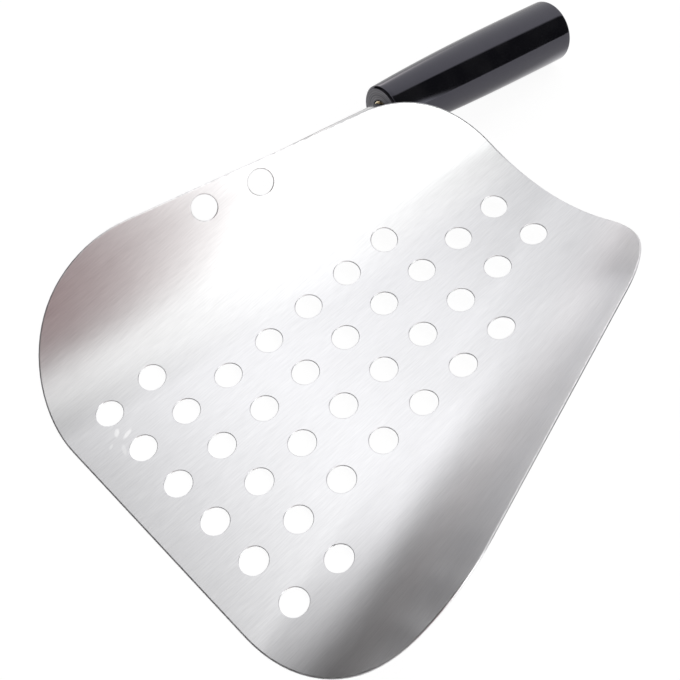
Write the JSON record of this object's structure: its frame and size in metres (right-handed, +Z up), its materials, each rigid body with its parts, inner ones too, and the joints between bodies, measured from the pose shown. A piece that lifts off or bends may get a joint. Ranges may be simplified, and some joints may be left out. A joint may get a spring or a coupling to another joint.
{
  "type": "popcorn scoop",
  "caption": "One-handed popcorn scoop: perforated sheet-steel pan with a wide mouth, tapering floor and leaning walls, and a turned black grip on a cranked rod outside one wall.",
  "frame": {"origin": "centre of the bounding box's bottom, on the surface that the scoop lies on", "axes": "+Z up, -Y towards the pan's mouth, +Y along the scoop to the free end of the grip, the grip's wall on the -X side; the scoop lies as it rests, on its mouth's lower edge and the end of its grip, so its floor slopes up to the back by about 2.9 degrees"},
  "size_m": [0.186, 0.2682, 0.0387],
  "materials": {
    "pan_steel": "finely brushed along the scoop's length",
    "rod_steel": "drawn rod, bright",
    "weld_steel": "rippled weld bead, slightly heat tinted",
    "insert_brass": "turned",
    "grip_bakelite": "glossy black, with fine turning rings on the small end's face"
  },
  "bodies": {
    "root": {"pan": "pan_steel", "handle_stem": "rod_steel", "weld_upper": "weld_steel", "weld_lower": "weld_steel", "thread_insert": "insert_brass", "grip": "grip_bakelite"}
  },
  "joints": []
}
